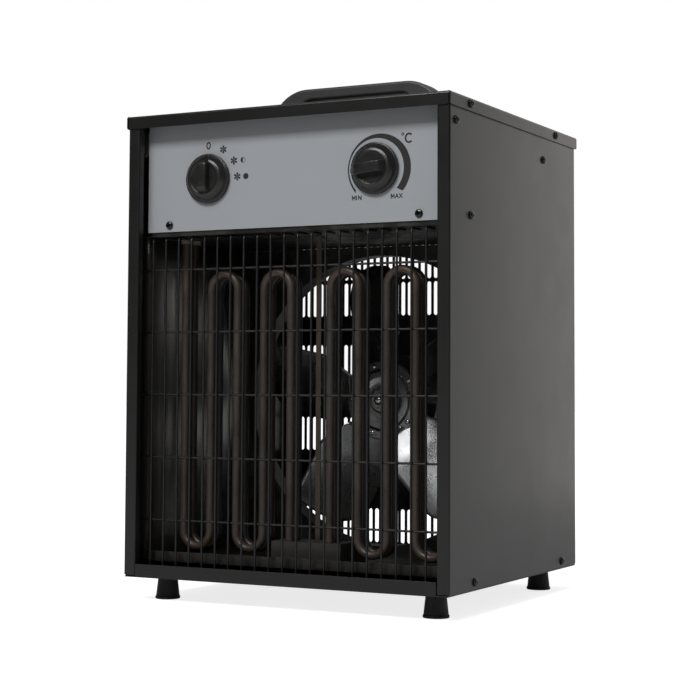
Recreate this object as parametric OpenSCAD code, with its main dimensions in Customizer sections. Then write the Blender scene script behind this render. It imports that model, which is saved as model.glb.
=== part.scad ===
// Free-standing box fan heater: a steel cabinet on rubber feet, tubular elements behind a wire
// grille, an axial fan behind them, and the controls in a compartment above the hot chamber.
// Millimetres, +Z up, the front faces -Y. The origin is on the floor under the middle.

/* [Cabinet] */
// Width over the side walls
body_w = 350; // [330:1:380]
// Depth of the cabinet from the front flange to the rear panel
body_d = 325.5; // [310:0.5:360]
// Height from the underside of the base pan to the top of the cover
body_h = 454; // [440:1:490]
// Thickness of the folded steel sheet
sheet = 1.2; // [0.8:0.1:1.5]
// Width of the front flange of each side wall
flange_w = 13; // [10:1:16]
// Height of the upturned front lip of the base pan
pan_lip = 13; // [10:1:16]
// Height of the turned-down rim of the cover
cover_rim = 12.5; // [9:0.5:16]
// Outside radius of a sheet bend
bend_r = 2; // [1.5:0.1:3]

/* [Feet] */
// Height of a rubber foot
foot_h = 23; // [15:1:35]
// Radius of a foot where it stands on the floor
foot_base_r = 12.3; // [10:0.1:16]
// Radius of a foot where it meets the pan
foot_top_r = 9.4; // [8:0.1:10]
// Distance of a foot's axis from the side wall
foot_inset_x = 29; // [22:1:40]
// Distance of a foot's axis from the front and the rear
foot_inset_y = 35; // [25:1:50]

/* [Handle] */
// Overall length of the carrying handle
handle_len = 201; // [190:1:240]
// Width of the handle, front to back
handle_w = 24; // [20:1:36]
// Height of the handle above the cover, also the radius of its round ends
handle_h = 43; // [38:1:55]
// Thickness of the grip bar
handle_bar = 9; // [7:0.5:12]
// Length of the finger gap
handle_gap = 128; // [110:1:132]

/* [Controls] */
// How far the control panel lies behind the front face
panel_recess = 17; // [14:1:20]
// Height of the control panel's lower edge above the floor
panel_bottom = 362; // [355:1:370]
// Distance of each knob's axis from the middle
knob_x = 91.5; // [80:0.5:110]
// Height of the knob axes above the floor
knob_z = 412.5; // [405:0.5:420]
// Radius of a knob's skirt
knob_r = 24.5; // [20:0.5:27]
// Height of a knob from the back of its skirt to the front of its grip
knob_h = 15; // [14:0.5:16]
// Resting direction of the thermostat's pointer, clockwise from straight up
thermostat_rest = -95; // [-135:1:135]

/* [Grille] */
// Spacing of the upright wires
wire_pitch = 15; // [12:0.5:18]
// Number of upright wires
wire_count = 22; // [16:1:22]
// Radius of the grille wire
wire_r = 1.1; // [0.8:0.1:1.5]
// Height of the lowest cross wire
cross_z = 78; // [60:1:90]
// Spacing of the cross wires
cross_pitch = 61.6; // [50:0.2:65]

/* [Elements] */
// Radius of the heating tube
tube_r = 4.2; // [3.5:0.1:5]
// Spacing of the legs of an element
leg_pitch = 30.5; // [28:0.5:30.5]
// Distance of the innermost leg from the middle
leg_first = 22; // [20:1:24]
// Height of the highest point of the upper bends
bend_top = 325.5; // [300:0.5:335]
// Height of the lowest point of the lower bends
bend_low = 46; // [44:0.5:60]
// How far the front row of legs lies behind the front face
row_front = 60; // [50:1:70]
// Distance from the front row to the rear row
row_gap = 15; // [12:1:20]

/* [Fan] */
// Radius of the round opening in the fan plate
throat_r = 152; // [130:1:153]
// Height of the fan axis above the floor
fan_z = 196; // [192:1:200]
// Number of blades
blade_count = 5; // [4:1:6]
// Radius to the blade tips
blade_r = 142; // [120:1:147]
// Pitch of the blades
blade_pitch = 27; // [18:1:30]
// How far the fan plate lies behind the front face
throat_d = 210; // [200:1:215]
// How far the middle of the rotor lies behind the front face
fan_d = 219; // [216:0.5:222]

/* [Rear panel] */
// Width of an air slot
slot_w = 5; // [4:0.5:5.5]
// Length of an air slot
slot_len = 37.5; // [30:0.5:37.5]
// Sideways spacing of the slots
slot_pitch = 8; // [7:0.5:9]
// Number of slots in a row
slot_count = 40; // [20:2:40]

/* [Hidden] */
$fn = 48;
fit = 0.3;                       // gap between sheets that lie side by side
shaft_gap = 0.05;                // radial clearance of a turning shaft
small_gap = 0.2;                 // gap round a fixed pin or bush

gland_reach = 29;                // cable gland beyond the rear panel
rim_reach = sheet + fit;         // cover's rim beyond the walls
knob_gap = 0.5;                  // between the skirt and the panel
front_y = -(body_d + gland_reach - rim_reach) / 2;
rear_y = front_y + body_d;
mid_y = front_y + body_d / 2;
wall_x = body_w / 2;             // outside of a side wall
wall_in = wall_x - sheet;        // inside of a side wall
top_z = foot_h + body_h;
pan_z = foot_h + sheet;          // upper face of the pan
wall_low = foot_h + 2;           // lower edge of the walls
wall_top = top_z - sheet - fit;  // upper edge of the walls
rim_low = top_z - cover_rim;
inner_x = wall_in - sheet - 2 * small_gap;  // half width inside the pan's walls
lining_x = wall_x - 9;           // outside of the reflector
ceiling_z = 357.5;
ceiling_top = ceiling_z + sheet;
floor_z = 38;                    // upper face of the chamber floor
panel_d = panel_recess + sheet;  // rear face of the control panel

screw_r = 2;
screw_hole = 2.15;
head_r = 4;
head_h = 2.4;

// Places of the screws as [distance behind the front face, height]
cover_screws_at = [[44, 471.3], [264.5, 471.3]];
side_screws_at = [[14.4, 452.4], [231.9, 441.8], [47.9, 368.1], [57, 31.3], [282, 31.3]];
panel_screw_x = 136.5;
panel_screw_z = 368.5;
rear_screw_x = 166.5;
rear_screw_z = [60, 250, 440];

brace_d = 225;                   // roof brace behind the front face
brace_top = 448.2;
bend_line = leg_pitch / 2;       // radius of a bend's centre line
leg_top = bend_top - tube_r - bend_line;
leg_low = bend_low + tube_r + bend_line;
tube_end = 372;                  // upper end of a leg that passes the ceiling
sleeve_r = 6;
pin_r = 1.6;
pin_len = 8;
last_leg = leg_first + 4 * leg_pitch;
row_rear = row_front + row_gap;
block_top = 60;
block_half = 38;                 // half width of the terminal block

shaft_r = 5;
motor_r = 48;
motor_front = 250;
motor_rear = 300;
hub_r = 42;
blade_t = 1.5;
blade_half = 40;                 // half the chord
blade_lead = 18;                 // corner radius of the blade's leading tip
blade_trail = 36;                // corner radius of its trailing tip
blade_rest = 47;                 // turn of the first blade at rest

bracket_z = [274, 106];          // bolted feet of the motor bracket
bracket_bolt_x = 20;
gland_x = 112;
gland_z = 425;
reset_x = -112;
reset_z = 425;
slot_rows = [36.8, 138, 179, 220, 290, 331];  // lower ends of the slots

spindle_r = 3;
spindle_end = 3.5;               // front end behind the front face
switch_d = 21;                   // front of a switch body

// y of a place that lies d behind the front face
function at(d) = front_y + d;
// x of leg i of an element, counted from the middle
function leg_x(i) = leg_first + i * leg_pitch;

// ---- shared shapes ----

// A box between two corners
module box(lo, hi) translate(lo) cube(hi - lo);

// The same box and its mirror image across the middle
module both_sides() {
    children();
    mirror([1, 0, 0]) children();
}

// A rod along Y from depth d0 to depth d1
module rod_y(r, d0, d1) translate([0, at(d0), 0]) rotate([-90, 0, 0]) cylinder(r = r, h = d1 - d0);

// A rod along X from x0 to x1
module rod_x(r, x0, x1) translate([x0, 0, 0]) rotate([0, 90, 0]) cylinder(r = r, h = x1 - x0);

// A rectangle with round corners, from true arcs
module round_rect(lo, hi, r) {
    translate([lo.x + r, lo.y]) square([hi.x - lo.x - 2 * r, hi.y - lo.y]);
    translate([lo.x, lo.y + r]) square([hi.x - lo.x, hi.y - lo.y - 2 * r]);
    for (x = [lo.x + r, hi.x - r], y = [lo.y + r, hi.y - r]) translate([x, y]) circle(r = r);
}

// Pan-head screw with a cross recess, its head at z > 0 and its shank below
module screw(len) {
    translate([0, 0, -len]) cylinder(r = screw_r, h = len);
    difference() {
        cylinder(r1 = head_r, r2 = head_r * 0.7, h = head_h);
        for (turn = [0, 90]) rotate(turn) translate([-2.2, -0.45, head_h - 1.2]) cube([4.4, 0.9, 2]);
    }
}

module screw_towards_x(len) rotate([0, 90, 0]) screw(len);
module screw_towards_front(len) rotate([90, 0, 0]) screw(len);
module screw_towards_rear(len) rotate([-90, 0, 0]) screw(len);

// Hexagonal prism along Y, size across the corners
module hex_y(r, d0, d1) translate([0, at(d0), 0]) rotate([-90, 0, 0]) cylinder(r = r, h = d1 - d0, $fn = 6);

// ---- cabinet ----

module base_pan() {
    wall_out = wall_in - small_gap;
    lip_x = wall_x - flange_w - fit;
    rear_lip_x = wall_x - 16.5;
    color([0.10, 0.10, 0.10]) difference() {
        union() {
            box([-wall_out, at(0), foot_h], [wall_out, at(body_d), pan_z]);
            box([-lip_x, at(0), foot_h], [lip_x, at(sheet), foot_h + pan_lip]);
            box([-rear_lip_x, at(body_d - 2 * sheet - small_gap), foot_h],
                [rear_lip_x, at(body_d - sheet - small_gap), foot_h + pan_lip]);
            both_sides() box([wall_out - sheet, at(sheet + fit), foot_h],
                [wall_out, at(body_d - 2 * sheet - fit), foot_h + 17]);
        }
        for (x = [-1, 1], d = [foot_inset_y, body_d - foot_inset_y])
            translate([x * (wall_x - foot_inset_x), at(d), foot_h - 1]) cylinder(r = screw_hole, h = 4);
        for (s = side_screws_at)
            if (s.y < 40) translate([0, at(s.x), s.y]) rod_x(screw_hole, -wall_x, wall_x);
    }
}

// Outline of the right-hand wall seen from above: front flange with a short return, wall, rear flange
module wall_outline() {
    rear = body_d - sheet;
    edge_x = wall_x - flange_w;
    flange_return = 8;
    difference() {
        round_rect([edge_x, at(0)], [wall_x, at(rear)], bend_r);
        round_rect([edge_x + sheet, at(sheet)], [wall_in, at(rear - sheet)], bend_r - sheet);
        translate([edge_x - 1, at(flange_return)]) square([sheet + 2, rear - sheet - flange_return]);
    }
}

module side_panel_right() {
    color([0.22, 0.21, 0.20]) difference() {
        union() {
            translate([0, 0, wall_low]) linear_extrude(wall_top - wall_low) wall_outline();
            box([wall_x - 16, at(body_d - 2 * sheet), wall_low],
                [wall_x - flange_w + bend_r, at(body_d - sheet), wall_top]);
        }
        for (s = concat(side_screws_at, cover_screws_at))
            translate([0, at(s.x), s.y]) rod_x(screw_hole, wall_in - 1, wall_x + 1);
        for (z = rear_screw_z)
            translate([rear_screw_x, 0, z]) rod_y(screw_hole, body_d - 4, body_d);
    }
}

module side_panel_left() mirror([1, 0, 0]) side_panel_right();

// One row of the rear panel's slots as a flat outline, its lower ends at z
module slot_row(z) {
    for (i = [0 : slot_count - 1]) translate([(i - (slot_count - 1) / 2) * slot_pitch, z]) {
        translate([-slot_w / 2, slot_w / 2]) square([slot_w, slot_len - slot_w]);
        for (end = [slot_w / 2, slot_len - slot_w / 2]) translate([0, end]) circle(d = slot_w);
    }
}

module rear_panel() {
    half = wall_in - fit;
    color([0.10, 0.10, 0.10]) translate([0, at(body_d), 0]) rotate([90, 0, 0]) linear_extrude(sheet)
        difference() {
            translate([-half, wall_low]) square([2 * half, wall_top - wall_low]);
            for (z = slot_rows) slot_row(z);
            for (x = [-1, 1], z = rear_screw_z) translate([x * rear_screw_x, z]) circle(r = screw_hole);
            for (x = [-1, 1], z = bracket_z) translate([x * bracket_bolt_x, z]) circle(r = screw_hole);
            translate([gland_x, gland_z]) circle(r = 16 + small_gap);
            translate([reset_x, reset_z]) circle(r = 6 + small_gap);
        }
}

module top_cover() {
    out_x = wall_x + rim_reach;
    out_f = at(-rim_reach);
    out_r = at(body_d + rim_reach);
    seam = 1;
    color([0.10, 0.10, 0.10]) difference() {
        box([-out_x, out_f, rim_low], [out_x, out_r, top_z]);
        box([-out_x + sheet, out_f + sheet, rim_low - 1], [out_x - sheet, out_r - sheet, top_z - sheet]);
        both_sides() for (y = [out_f, out_r])
            box([out_x - sheet - seam, y - 2, rim_low - 1], [out_x - sheet, y + 2, top_z - sheet]);
        for (s = cover_screws_at) translate([0, at(s.x), s.y]) rod_x(screw_hole, -out_x - 1, out_x + 1);
        for (x = [-1, 1]) translate([x * handle_screw_x(), mid_y, top_z - 5]) cylinder(r = 2.65, h = 10);
    }
}

// ---- control compartment ----

module control_panel() {
    half = wall_x - flange_w;
    color([0.60, 0.62, 0.63]) difference() {
        union() {
            box([-half, at(panel_recess), panel_bottom], [half, at(panel_d), 470]);
            box([-half, at(panel_d), 470 - sheet], [half, at(panel_d + 12), 470]);
        }
        for (x = [-1, 1]) {
            translate([x * knob_x, 0, knob_z]) rod_y(5.2, panel_recess - 1, panel_d + 1);
            translate([x * panel_screw_x, 0, panel_screw_z]) rod_y(screw_hole, panel_recess - 1, panel_d + 1);
        }
    }
}

module panel_bracket_right() {
    leg_out = wall_in - small_gap;
    low = 440;
    high = 464;
    s = side_screws_at[0];
    color([0.65, 0.66, 0.66]) difference() {
        union() {
            box([leg_out - sheet, at(8), low], [leg_out, at(30), high]);
            box([wall_x - 28, at(panel_d + small_gap), low], [leg_out, at(panel_d + small_gap + sheet), high]);
        }
        translate([0, at(s.x), s.y]) rod_x(screw_hole, wall_x - 10, wall_x);
    }
}

module panel_bracket_left() mirror([1, 0, 0]) panel_bracket_right();

module roof_brace() {
    out = wall_in - small_gap;
    deep = 14;
    low = 430;
    s = side_screws_at[1];
    color([0.65, 0.66, 0.66]) difference() {
        union() {
            box([-out, at(brace_d), brace_top - sheet], [out, at(brace_d + deep), brace_top]);
            box([-out, at(brace_d), low], [out, at(brace_d + sheet), brace_top]);
            both_sides() box([out - sheet, at(brace_d), low], [out, at(brace_d + deep), brace_top]);
        }
        translate([0, at(s.x), s.y]) rod_x(screw_hole, -wall_x, wall_x);
    }
}

// Body of a rotary switch behind the panel, with its threaded bush through the panel
module rotary_body(half_w, half_h, deep) {
    difference() {
        union() {
            box([-half_w, at(switch_d), -half_h], [half_w, at(switch_d + deep), half_h]);
            rod_y(5, panel_recess - 3, switch_d);
            rod_y(8, panel_recess - 2, panel_recess);
            for (x = [-0.6, 0, 0.6], z = [-0.5, 0.5])
                translate([x * half_w, 0, z * half_h]) rod_y(3, switch_d + deep, switch_d + deep + 6);
        }
        rod_y(spindle_r + shaft_gap, panel_recess - 4, switch_d + 20);
    }
}

// A turning spindle from the switch body to the inside of the knob
module spindle() rod_y(spindle_r, spindle_end, switch_d + 18);

// Pointer knob about the Y axis, its pointer up
module pointer_knob() {
    skirt = 3;
    crown = 9.5;
    back = panel_recess - knob_gap;
    difference() {
        union() {
            rod_y(knob_r, back - skirt, back);
            translate([0, at(back - skirt), 0]) rotate([90, 0, 0])
                cylinder(r1 = knob_r - 2, r2 = knob_r - 6, h = crown - skirt);
            box([-5.6, at(back - knob_h), -18], [5.6, at(back - skirt), 18]);
            box([-2.6, at(back - crown), 17], [2.6, at(back - skirt), knob_r - 0.5]);
        }
        rod_y(spindle_r + 0.02, spindle_end - 0.5, back + 1);
        rod_y(9, back - 4, back + 1);
    }
}

module mode_switch() color([0.15, 0.15, 0.16]) translate([-knob_x, 0, knob_z]) rotary_body(22, 22, 38);
module mode_spindle() color([0.75, 0.75, 0.75]) translate([-knob_x, 0, knob_z]) spindle();
module mode_knob() color([0.13, 0.13, 0.13]) translate([-knob_x, 0, knob_z]) pointer_knob();

module thermostat() color([0.78, 0.74, 0.60]) translate([knob_x, 0, knob_z]) rotary_body(23, 18, 28);
module thermostat_spindle() color([0.75, 0.75, 0.75]) translate([knob_x, 0, knob_z]) spindle();
module thermostat_knob() color([0.13, 0.13, 0.13]) translate([knob_x, 0, knob_z])
    rotate([0, thermostat_rest, 0]) pointer_knob();

// Capillary tube of the thermostat, back over the fan plate and down to its bulb in the intake
module thermostat_sensor() {
    tube = 1.2;
    bulb_r = 3.5;
    turn_r = 12;
    x = knob_x + 32;
    high = 402;
    back = 300;
    start = switch_d + 15;
    color([0.72, 0.45, 0.30]) {
        translate([x, 0, high]) rod_y(tube, start, back - turn_r);
        translate([knob_x + 23, at(start), high]) rod_x(tube, 0, x - knob_x - 23);
        translate([x, at(start), high]) sphere(r = tube);
        translate([x, at(back - turn_r), high - turn_r]) rotate([90, 0, 90])
            rotate_extrude(angle = 90) translate([turn_r, 0]) circle(r = tube);
        translate([x, at(back), 330]) cylinder(r = tube, h = high - turn_r - 330);
        translate([x, at(back), 260]) cylinder(r = bulb_r, h = 70);
    }
}

module thermal_cutout() color([0.16, 0.15, 0.15]) translate([reset_x, 0, reset_z]) difference() {
    union() {
        box([-14, at(288), -20], [14, at(body_d - sheet - small_gap), 20]);
        rod_y(6, body_d - 2, body_d + 4);
    }
    rod_y(3.5 + shaft_gap, 295, body_d + 5);
}

module reset_button() color([0.75, 0.10, 0.08]) translate([reset_x, 0, reset_z]) rod_y(3.5, 300, body_d + 7);

module contactor() color([0.20, 0.20, 0.21]) {
    low = ceiling_top + small_gap;
    for (x = [-60, 5]) difference() {
        union() {
            box([x, at(120), low], [x + 46, at(196), low + 34]);
            box([x + 4, at(134), low + 34], [x + 42, at(182), low + 54]);
        }
        for (i = [0 : 3], d = [126, 190])
            translate([x + 7 + i * 10.7, at(d), low + 26]) cylinder(r = 3, h = 20);
    }
}

module supply_terminals() color([0.80, 0.80, 0.76]) {
    low = ceiling_top + small_gap;
    difference() {
        box([70, at(130), low], [130, at(158), low + 24]);
        for (i = [0 : 4], d = [136, 152]) translate([76 + i * 12, at(d), low + 12]) cylinder(r = 3.4, h = 20);
    }
}

// ---- hot chamber ----

// Grille of upright wires, hooked back under the ceiling, welded to cross wires behind them
module front_grille() {
    up_d = 20;
    low = 29;
    hook_r = 4;
    hook_z = ceiling_z - 0.4 - wire_r - hook_r;
    hook_end = 38;
    color([0.05, 0.05, 0.05]) {
        for (i = [0 : wire_count - 1]) translate([(i - (wire_count - 1) / 2) * wire_pitch, 0, 0]) {
            translate([0, at(up_d), low]) cylinder(r = wire_r, h = hook_z - low, $fn = 24);
            translate([0, at(up_d + hook_r), hook_z]) rotate([90, 0, 90]) rotate([0, 0, 90])
                rotate_extrude(angle = 90, $fn = 24) translate([hook_r, 0]) circle(r = wire_r, $fn = 24);
            translate([0, 0, hook_z + hook_r]) rod_y(wire_r, up_d + hook_r, hook_end);
        }
        for (k = [0 : 4]) translate([0, at(up_d + 2.1), cross_z + k * cross_pitch])
            rod_x(wire_r, -wall_in + 2, wall_in - 2);
    }
}

module reflector_right() {
    plate = 1;
    low = floor_z + small_gap;
    high = ceiling_z - small_gap;
    rear = throat_d - small_gap;
    color([0.70, 0.70, 0.69]) {
        box([lining_x - plate, at(24.5), low], [lining_x, at(rear), high]);
        box([lining_x, at(24.5), low], [inner_x, at(24.5 + plate), high]);
        box([lining_x, at(rear - plate), low], [inner_x, at(rear), high]);
    }
}

module reflector_left() mirror([1, 0, 0]) reflector_right();

module chamber_ceiling() {
    out = wall_in - small_gap;
    front = panel_d + small_gap;
    rear = throat_d + sheet;
    flange_x = 158;
    color([0.62, 0.62, 0.61]) difference() {
        union() {
            box([-out, at(front), ceiling_z], [out, at(rear), ceiling_top]);
            box([-flange_x, at(front), ceiling_z], [flange_x, at(front + sheet), ceiling_z + 18.5]);
            both_sides() box([out - sheet, at(32), ceiling_z], [out, at(rear), ceiling_z + 20.5]);
        }
        for (x = [-1, 1]) {
            translate([x * panel_screw_x, 0, panel_screw_z]) rod_y(screw_hole, front - 1, front + 3);
            for (d = [row_front, row_rear])
                translate([x * last_leg, at(d), ceiling_z - 1]) cylinder(r = sleeve_r + small_gap, h = 4);
        }
        translate([0, at(side_screws_at[2].x), side_screws_at[2].y]) rod_x(screw_hole, -wall_x, wall_x);
    }
}

module chamber_floor() {
    plate = 1;
    front = 26;
    leg = 130;
    color([0.66, 0.66, 0.65]) {
        box([-inner_x, at(front), floor_z - plate], [inner_x, at(throat_d - small_gap), floor_z]);
        box([-lining_x + 1.5, at(front), floor_z - plate], [lining_x - 1.5, at(front + plate), floor_z + 9]);
        both_sides() box([leg, at(front), pan_z], [leg + plate, at(throat_d - small_gap), floor_z]);
    }
}

// Plate with the round throat and its rolled collar
module fan_plate() {
    collar = 22;
    color([0.20, 0.20, 0.20]) {
        difference() {
            box([-inner_x, at(throat_d), pan_z], [inner_x, at(throat_d + sheet), ceiling_z - small_gap]);
            translate([0, 0, fan_z]) rod_y(throat_r, throat_d - 1, throat_d + 4);
        }
        translate([0, 0, fan_z]) difference() {
            rod_y(throat_r + sheet, throat_d, throat_d + collar);
            rod_y(throat_r, throat_d - 1, throat_d + collar + 1);
        }
        both_sides() box([inner_x - sheet, at(throat_d), pan_z], [inner_x, at(throat_d + 15), ceiling_z - small_gap]);
    }
}

// Half-round bend between legs i and i + 1, open downward or, with side -1, upward
module bend(i, z, side) translate([leg_x(i) + bend_line, 0, z]) rotate([side * 90, 0, 0])
    rotate_extrude(angle = 180) translate([bend_line, 0]) circle(r = tube_r);

module leg(i, low, high) translate([leg_x(i), 0, low]) cylinder(r = tube_r, h = high - low);

module end_pin(i, z) translate([leg_x(i), 0, z]) cylinder(r = pin_r, h = pin_len);

// Five legs and four bends: the outer leg leaves through the ceiling, the inner leg ends on the block
module element(row) color([0.36, 0.31, 0.28]) translate([0, at(row), 0]) {
    leg(0, block_top + small_gap, leg_top);
    for (i = [1 : 3]) leg(i, leg_low, leg_top);
    leg(4, leg_low, tube_end);
    for (i = [0, 2]) bend(i, leg_top, 1);
    for (i = [1, 3]) bend(i, leg_low, -1);
    end_pin(4, tube_end);
    end_pin(0, block_top + small_gap - pin_len);
}

module element_front_right() element(row_front);

module element_front_left() mirror([1, 0, 0]) element(row_front);

module element_rear_right() element(row_rear);

module element_rear_left() mirror([1, 0, 0]) element(row_rear);

// Flanged ceramic sleeves that carry the elements where they pass the ceiling
module ceiling_insulators() color([0.88, 0.86, 0.80])
    for (x = [-1, 1], d = [row_front, row_rear]) translate([x * last_leg, at(d), 0]) difference() {
        union() {
            translate([0, 0, ceiling_z - 4]) cylinder(r = sleeve_r, h = 12);
            translate([0, 0, ceiling_top]) cylinder(r = row_gap / 2 - small_gap, h = 3);
        }
        translate([0, 0, ceiling_z - 5]) cylinder(r = tube_r + small_gap, h = 20);
    }

// Block on the floor that holds the inner ends of all four elements
module element_terminal_block() color([0.12, 0.12, 0.12]) {
    difference() {
        union() {
            box([-block_half, at(row_front - 8), floor_z], [block_half, at(row_rear + 8), block_top]);
            box([-block_half, at(row_rear + 8), floor_z], [block_half, at(row_rear + 31), block_top - 2]);
        }
        for (x = [-leg_first, leg_first], d = [row_front, row_rear])
            translate([x, at(d), block_top - pin_len - 1]) cylinder(r = pin_r + small_gap, h = 20);
        for (x = [-9, 9]) translate([x, at(row_front), floor_z + 12]) cylinder(r = 5, h = 20);
    }
}

// Flat steel strip between the rows that ties the terminal block to the ceiling
module element_stay() color([0.30, 0.27, 0.25]) {
    d = row_rear + 1;
    box([-2.7, at(d), block_top], [2.7, at(d + 1.2), ceiling_z]);
    box([-2.7, at(d), ceiling_z - 1.2], [2.7, at(d + 12), ceiling_z]);
}

// ---- fan ----

module motor_bracket() {
    half = 30;
    face = motor_rear;
    foot_d = body_d - sheet;
    foot_len = 24;
    color([0.25, 0.25, 0.25]) difference() {
        union() {
            box([-half, at(face), bracket_z[1] - 12], [half, at(face + 2), bracket_z[0] + 12]);
            for (z = bracket_z) {
                up = z > fan_z ? 1 : -1;
                box([-half, at(face), z + up * 12 - 1], [half, at(foot_d), z + up * 12 + 1]);
                box([-half, at(foot_d - 2), z - foot_len / 2], [half, at(foot_d), z + foot_len / 2]);
            }
        }
        for (x = [-1, 1], z = bracket_z) translate([x * bracket_bolt_x, 0, z]) rod_y(screw_hole, face + 4, body_d);
        translate([0, 0, fan_z]) rod_y(12, face - 1, face + 4);
    }
}

module motor_housing() color([0.30, 0.31, 0.32]) translate([0, 0, fan_z]) difference() {
    union() {
        rod_y(motor_r, motor_front, motor_rear - 3);
        rod_y(14, motor_front - 4, motor_front);
    }
    rod_y(motor_r - 2.2, motor_front + 2.5, motor_rear);
    rod_y(9 + 0.02, motor_front - 5, motor_front + 5);
}

module motor_end_cap() color([0.34, 0.35, 0.36]) translate([0, 0, fan_z]) difference() {
    union() {
        rod_y(motor_r, motor_rear - 3 + small_gap, motor_rear);
        rod_y(13, motor_rear - 8, motor_rear);
    }
    rod_y(9 + 0.02, motor_rear - 9, motor_rear + 1);
}

module motor_bearings() color([0.72, 0.55, 0.30]) translate([0, 0, fan_z])
    for (d = [motor_front - 4, motor_rear - 8]) difference() {
        rod_y(9, d, d + 7);
        rod_y(shaft_r + shaft_gap, d - 1, d + 8);
    }

module motor_stator() color([0.62, 0.36, 0.20]) translate([0, 0, fan_z]) difference() {
    rod_y(motor_r - 2.4, 262, 290);
    rod_y(27, 261, 291);
}

module motor_rotor() color([0.50, 0.50, 0.52]) translate([0, 0, fan_z]) difference() {
    rod_y(26.4, 262, 290);
    rod_y(shaft_r, 261, 291);
}

module motor_shaft() color([0.75, 0.75, 0.76]) translate([0, 0, fan_z])
    rod_y(shaft_r, fan_d - 12, motor_rear + 3);

// One blade along +X: a flat plate with two round tip corners, turned by its pitch about the radius
module blade() rotate([90 - blade_pitch, 0, 0]) translate([0, 0, -blade_t / 2]) linear_extrude(blade_t) {
    lead = blade_r - blade_lead;
    trail = blade_r - blade_trail;
    difference() {
        intersection() {
            circle(r = blade_r, $fn = 96);
            union() {
                polygon([[30, -18], [68, -blade_half], [lead, -blade_half], [blade_r, blade_lead - blade_half],
                    [blade_r, blade_half - blade_trail], [trail, blade_half], [68, blade_half], [30, 18]]);
                translate([lead, blade_lead - blade_half]) circle(r = blade_lead, $fn = 64);
                translate([trail, blade_half - blade_trail]) circle(r = blade_trail, $fn = 64);
            }
        }
        circle(r = 34);
    }
}

module fan_blades() color([0.78, 0.78, 0.79]) translate([0, 0, fan_z]) difference() {
    union() {
        rod_y(hub_r, fan_d - 1.5, fan_d + 1.5);
        rod_y(13, fan_d - 6, fan_d + 14);
        for (k = [0 : blade_count - 1])
            translate([0, at(fan_d), 0]) rotate([0, blade_rest + k * 360 / blade_count, 0]) blade();
    }
    rod_y(shaft_r, fan_d - 20, fan_d + 20);
}

module fan_nut() color([0.80, 0.80, 0.80]) translate([0, 0, fan_z]) difference() {
    union() {
        hex_y(8.5, fan_d - 11, fan_d - 6);
        rod_y(6.5, fan_d - 14, fan_d - 11);
    }
    rod_y(shaft_r, fan_d - 12, fan_d);
}

// ---- handle and feet ----

function handle_screw_x() = handle_len / 2 - 17;

// Front view of the handle: a flat grip bar on quarter-round ends
module handle_outline() {
    half = handle_len / 2;
    gap_half = handle_gap / 2;
    difference() {
        intersection() {
            round_rect([-half, -2 * handle_h], [half, handle_h], handle_h);
            translate([-half, 0]) square([2 * half, handle_h]);
        }
        round_rect([-gap_half, -20], [gap_half, handle_h - handle_bar], 12);
    }
}

module handle() color([0.16, 0.16, 0.16]) difference() {
    translate([0, mid_y + handle_w / 2, top_z]) rotate([90, 0, 0]) linear_extrude(handle_w) handle_outline();
    for (x = [-1, 1]) translate([x * handle_screw_x(), mid_y, top_z - 1]) cylinder(r = 2.55, h = 16);
}

module handle_screws() color([0.70, 0.70, 0.70]) for (x = [-1, 1])
    translate([x * handle_screw_x(), mid_y, 0]) {
        translate([0, 0, top_z - sheet - 2.6]) cylinder(r = 5, h = 2.6);
        translate([0, 0, top_z - sheet]) cylinder(r = 2.5, h = 14);
    }

// Tapered rubber foot with a counterbore for its screw
module foot(x, d) color([0.10, 0.10, 0.10]) translate([x, at(d), 0]) difference() {
    union() {
        cylinder(r = foot_base_r, h = 1.8);
        translate([0, 0, 1.8]) cylinder(r1 = foot_base_r - 0.5, r2 = foot_top_r, h = foot_h - 1.8);
    }
    translate([0, 0, -1]) cylinder(r = 5, h = 13);
    cylinder(r = screw_hole, h = foot_h + 1);
}

foot_x = wall_x - foot_inset_x;
foot_back = body_d - foot_inset_y;
module foot_front_left() foot(-foot_x, foot_inset_y);
module foot_front_right() foot(foot_x, foot_inset_y);
module foot_rear_left() foot(-foot_x, foot_back);
module foot_rear_right() foot(foot_x, foot_back);

module foot_screws() color([0.70, 0.70, 0.70])
    for (x = [-foot_x, foot_x], d = [foot_inset_y, foot_back]) translate([x, at(d), 12])
        mirror([0, 0, 1]) screw(pan_z + 4 - 12);

module foot_nuts() color([0.70, 0.70, 0.70])
    for (x = [-foot_x, foot_x], d = [foot_inset_y, foot_back]) translate([x, at(d), pan_z]) difference() {
        cylinder(r = 4, h = 3.2, $fn = 6);
        translate([0, 0, -1]) cylinder(r = screw_r + 0.02, h = 6);
    }

// ---- cable gland ----

module gland_body() color([0.12, 0.12, 0.12]) translate([gland_x, 0, gland_z]) difference() {
    union() {
        rod_y(16, 309, body_d);
        hex_y(21.5, body_d, body_d + 5);
        rod_y(14, body_d + 5, body_d + 16);
    }
    rod_y(11, 308, body_d + 17);
}

module gland_locknut() color([0.12, 0.12, 0.12]) translate([gland_x, 0, gland_z]) difference() {
    hex_y(21.5, 315.5, body_d - sheet);
    rod_y(16 + 0.02, 314, body_d);
}

module gland_seal() color([0.06, 0.06, 0.06]) translate([gland_x, 0, gland_z]) difference() {
    rod_y(10.9, body_d - 4, body_d + 24);
    rod_y(8.5, body_d - 5, body_d + 25);
}

module gland_nut() color([0.12, 0.12, 0.12]) translate([gland_x, 0, gland_z]) difference() {
    union() {
        hex_y(19.5, body_d + 6, body_d + 17);
        translate([0, at(body_d + 17), 0]) rotate([-90, 0, 0]) cylinder(r1 = 16.5, r2 = 12, h = gland_reach - 17);
    }
    rod_y(14.1, body_d + 5, body_d + 16.5);
    rod_y(11, body_d + 16, body_d + 24.2);
    rod_y(9, body_d + 20, body_d + gland_reach + 1);
}

// ---- screws ----

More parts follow.
